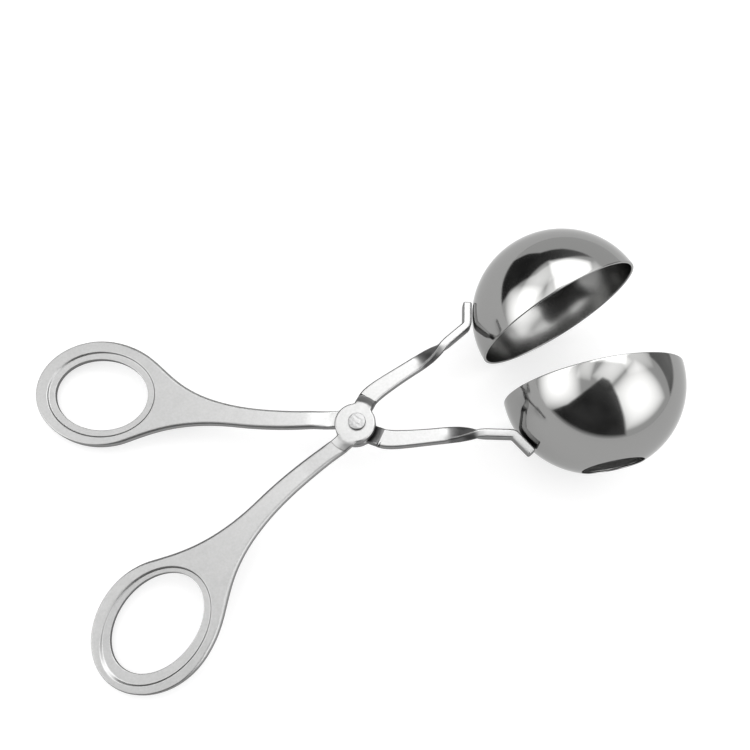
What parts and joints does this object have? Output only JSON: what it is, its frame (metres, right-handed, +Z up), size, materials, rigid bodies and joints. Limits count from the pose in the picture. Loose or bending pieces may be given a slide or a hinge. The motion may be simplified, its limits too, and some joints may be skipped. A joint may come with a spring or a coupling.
{
  "type": "meatball tongs",
  "caption": "Scissor tongs of stamped steel with a finger ring on each handle and a polished half-ball cup, with a drain hole, on each jaw.",
  "frame": {"origin": "centre of the object's footprint box, on the table it lies on", "axes": "+X runs along the tongs from the finger rings to the cups, +Y to the side of the upper arm's cup, +Z up"},
  "size_m": [0.1728, 0.101, 0.05],
  "materials": {
    "satin_steel": "satin stainless steel sheet with polished edges",
    "mirror_steel": "mirror-polished stainless steel",
    "rivet_steel": "peened steel, slightly duller than the cups"
  },
  "bodies": {
    "lower": {"lower_arm": "satin_steel", "lower_arm_cup": "mirror_steel", "pivot_rivet": "rivet_steel"},
    "upper": {"upper_arm": "satin_steel", "upper_arm_cup": "mirror_steel"}
  },
  "joints": [
    {"name": "pivot", "type": "hinge", "parent": "lower", "child": "upper", "pos_m": [-0.00358, -0.00056, 0.01451], "axis": [-0.1586, 0, 0.9873], "range_deg": [-19.4, 38]}
  ]
}
